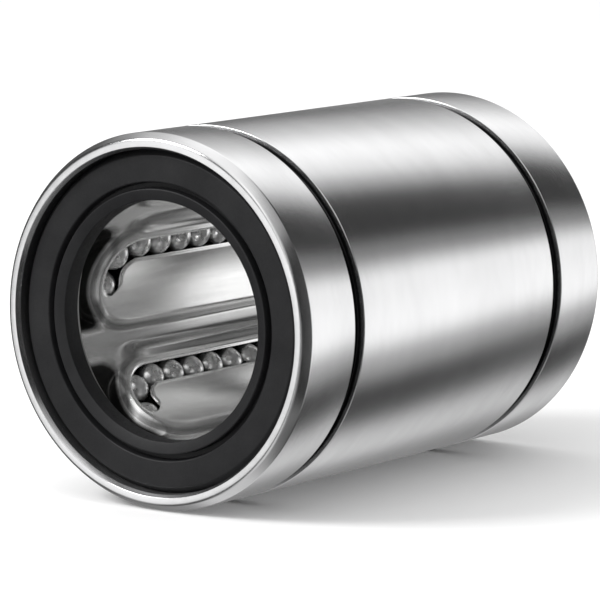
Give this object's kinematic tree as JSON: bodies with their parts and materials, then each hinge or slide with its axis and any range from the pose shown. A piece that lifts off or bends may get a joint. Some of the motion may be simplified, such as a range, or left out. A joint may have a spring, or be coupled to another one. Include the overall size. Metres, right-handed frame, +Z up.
{
  "type": "linear ball bushing",
  "caption": "Closed linear ball bushing: ground steel sleeve with retaining-ring grooves, end seals, a steel retainer and recirculating ball loops for a round shaft.",
  "frame": {"origin": "middle of the bore axis, halfway between the end faces", "axes": "+Y along the bore axis from the front face to the rear face; +Z up"},
  "size_m": [0.045, 0.064, 0.045],
  "materials": {
    "ground_steel": "ground and superfinished bearing steel",
    "pressed_steel": "bright pressed steel sheet",
    "ring_steel": "plain steel strip",
    "polished_steel": "mirror-polished bearing steel",
    "rubber": "matt black nitrile rubber"
  },
  "bodies": {
    "bushing": {"outer_cylinder": "ground_steel", "ball_retainer": "pressed_steel", "end_ring_front": "ring_steel", "end_ring_rear": "ring_steel", "seal_front": "rubber", "seal_rear": "rubber", "seal_core_front": "ring_steel", "seal_core_rear": "ring_steel"},
    "load_balls_1": {"load_balls_1": "polished_steel"},
    "return_balls_1": {"return_balls_1": "polished_steel"},
    "front_turn_balls_1": {"front_turn_balls_1": "polished_steel"},
    "rear_turn_balls_1": {"rear_turn_balls_1": "polished_steel"},
    "load_balls_2": {"load_balls_2": "polished_steel"},
    "return_balls_2": {"return_balls_2": "polished_steel"},
    "front_turn_balls_2": {"front_turn_balls_2": "polished_steel"},
    "rear_turn_balls_2": {"rear_turn_balls_2": "polished_steel"},
    "load_balls_3": {"load_balls_3": "polished_steel"},
    "return_balls_3": {"return_balls_3": "polished_steel"},
    "front_turn_balls_3": {"front_turn_balls_3": "polished_steel"},
    "rear_turn_balls_3": {"rear_turn_balls_3": "polished_steel"},
    "load_balls_4": {"load_balls_4": "polished_steel"},
    "return_balls_4": {"return_balls_4": "polished_steel"},
    "front_turn_balls_4": {"front_turn_balls_4": "polished_steel"},
    "rear_turn_balls_4": {"rear_turn_balls_4": "polished_steel"},
    "load_balls_5": {"load_balls_5": "polished_steel"},
    "return_balls_5": {"return_balls_5": "polished_steel"},
    "front_turn_balls_5": {"front_turn_balls_5": "polished_steel"},
    "rear_turn_balls_5": {"rear_turn_balls_5": "polished_steel"},
    "load_balls_6": {"load_balls_6": "polished_steel"},
    "return_balls_6": {"return_balls_6": "polished_steel"},
    "front_turn_balls_6": {"front_turn_balls_6": "polished_steel"},
    "rear_turn_balls_6": {"rear_turn_balls_6": "polished_steel"}
  },
  "joints": [
    {"name": "load_run_1", "type": "slide", "parent": "bushing", "child": "load_balls_1", "axis": [0, 1, 0], "range_m": [-0.00075, 0.00325]},
    {"name": "return_run_1", "type": "slide", "parent": "bushing", "child": "return_balls_1", "axis": [0, 1, 0], "range_m": [-0.00325, 0.00075]},
    {"name": "front_turn_run_1", "type": "hinge", "parent": "bushing", "child": "front_turn_balls_1", "pos_m": [-0.00584, -0.01652, 0.01608], "axis": [-0.1991, 0, 0.98], "range_deg": [-10.79, 46.6]},
    {"name": "rear_turn_run_1", "type": "hinge", "parent": "bushing", "child": "rear_turn_balls_1", "pos_m": [-0.00584, 0.01652, 0.01608], "axis": [-0.1991, 0, 0.98], "range_deg": [-10.79, 46.6]},
    {"name": "load_run_2", "type": "slide", "parent": "bushing", "child": "load_balls_2", "axis": [0, 1, 0], "range_m": [-0.00075, 0.00325]},
    {"name": "return_run_2", "type": "slide", "parent": "bushing", "child": "return_balls_2", "axis": [0, 1, 0], "range_m": [-0.00325, 0.00075]},
    {"name": "front_turn_run_2", "type": "hinge", "parent": "bushing", "child": "front_turn_balls_2", "pos_m": [-0.01685, -0.01652, 0.00298], "axis": [-0.9482, 0, 0.3176], "range_deg": [-10.79, 46.6]},
    {"name": "rear_turn_run_2", "type": "hinge", "parent": "bushing", "child": "rear_turn_balls_2", "pos_m": [-0.01685, 0.01652, 0.00298], "axis": [-0.9482, 0, 0.3176], "range_deg": [-10.79, 46.6]},
    {"name": "load_run_3", "type": "slide", "parent": "bushing", "child": "load_balls_3", "axis": [0, 1, 0], "range_m": [-0.00075, 0.00325]},
    {"name": "return_run_3", "type": "slide", "parent": "bushing", "child": "return_balls_3", "axis": [0, 1, 0], "range_m": [-0.00325, 0.00075]},
    {"name": "front_turn_run_3", "type": "hinge", "parent": "bushing", "child": "front_turn_balls_3", "pos_m": [-0.011, -0.01652, -0.0131], "axis": [-0.7491, 0, -0.6624], "range_deg": [-10.79, 46.6]},
    {"name": "rear_turn_run_3", "type": "hinge", "parent": "bushing", "child": "rear_turn_balls_3", "pos_m": [-0.011, 0.01652, -0.0131], "axis": [-0.7491, 0, -0.6624], "range_deg": [-10.79, 46.6]},
    {"name": "load_run_4", "type": "slide", "parent": "bushing", "child": "load_balls_4", "axis": [0, 1, 0], "range_m": [-0.00075, 0.00325]},
    {"name": "return_run_4", "type": "slide", "parent": "bushing", "child": "return_balls_4", "axis": [0, 1, 0], "range_m": [-0.00325, 0.00075]},
    {"name": "front_turn_run_4", "type": "hinge", "parent": "bushing", "child": "front_turn_balls_4", "pos_m": [0.00584, -0.01652, -0.01608], "axis": [0.1991, 0, -0.98], "range_deg": [-10.79, 46.6]},
    {"name": "rear_turn_run_4", "type": "hinge", "parent": "bushing", "child": "rear_turn_balls_4", "pos_m": [0.00584, 0.01652, -0.01608], "axis": [0.1991, 0, -0.98], "range_deg": [-10.79, 46.6]},
    {"name": "load_run_5", "type": "slide", "parent": "bushing", "child": "load_balls_5", "axis": [0, 1, 0], "range_m": [-0.00075, 0.00325]},
    {"name": "return_run_5", "type": "slide", "parent": "bushing", "child": "return_balls_5", "axis": [0, 1, 0], "range_m": [-0.00325, 0.00075]},
    {"name": "front_turn_run_5", "type": "hinge", "parent": "bushing", "child": "front_turn_balls_5", "pos_m": [0.01685, -0.01652, -0.00298], "axis": [0.9482, 0, -0.3176], "range_deg": [-10.79, 46.6]},
    {"name": "rear_turn_run_5", "type": "hinge", "parent": "bushing", "child": "rear_turn_balls_5", "pos_m": [0.01685, 0.01652, -0.00298], "axis": [0.9482, 0, -0.3176], "range_deg": [-10.79, 46.6]},
    {"name": "load_run_6", "type": "slide", "parent": "bushing", "child": "load_balls_6", "axis": [0, 1, 0], "range_m": [-0.00075, 0.00325]},
    {"name": "return_run_6", "type": "slide", "parent": "bushing", "child": "return_balls_6", "axis": [0, 1, 0], "range_m": [-0.00325, 0.00075]},
    {"name": "front_turn_run_6", "type": "hinge", "parent": "bushing", "child": "front_turn_balls_6", "pos_m": [0.011, -0.01652, 0.0131], "axis": [0.7491, 0, 0.6624], "range_deg": [-10.79, 46.6]},
    {"name": "rear_turn_run_6", "type": "hinge", "parent": "bushing", "child": "rear_turn_balls_6", "pos_m": [0.011, 0.01652, 0.0131], "axis": [0.7491, 0, 0.6624], "range_deg": [-10.79, 46.6]}
  ],
  "couplings": [
    {"joint": "return_run_1", "follows": "load_run_1", "ratio": -1},
    {"joint": "front_turn_run_1", "follows": "load_run_1", "rad_per_m": 250},
    {"joint": "rear_turn_run_1", "follows": "load_run_1", "rad_per_m": 250},
    {"joint": "return_run_2", "follows": "load_run_2", "ratio": -1},
    {"joint": "front_turn_run_2", "follows": "load_run_2", "rad_per_m": 250},
    {"joint": "rear_turn_run_2", "follows": "load_run_2", "rad_per_m": 250},
    {"joint": "return_run_3", "follows": "load_run_3", "ratio": -1},
    {"joint": "front_turn_run_3", "follows": "load_run_3", "rad_per_m": 250},
    {"joint": "rear_turn_run_3", "follows": "load_run_3", "rad_per_m": 250},
    {"joint": "return_run_4", "follows": "load_run_4", "ratio": -1},
    {"joint": "front_turn_run_4", "follows": "load_run_4", "rad_per_m": 250},
    {"joint": "rear_turn_run_4", "follows": "load_run_4", "rad_per_m": 250},
    {"joint": "return_run_5", "follows": "load_run_5", "ratio": -1},
    {"joint": "front_turn_run_5", "follows": "load_run_5", "rad_per_m": 250},
    {"joint": "rear_turn_run_5", "follows": "load_run_5", "rad_per_m": 250},
    {"joint": "return_run_6", "follows": "load_run_6", "ratio": -1},
    {"joint": "front_turn_run_6", "follows": "load_run_6", "rad_per_m": 250},
    {"joint": "rear_turn_run_6", "follows": "load_run_6", "rad_per_m": 250}
  ]
}
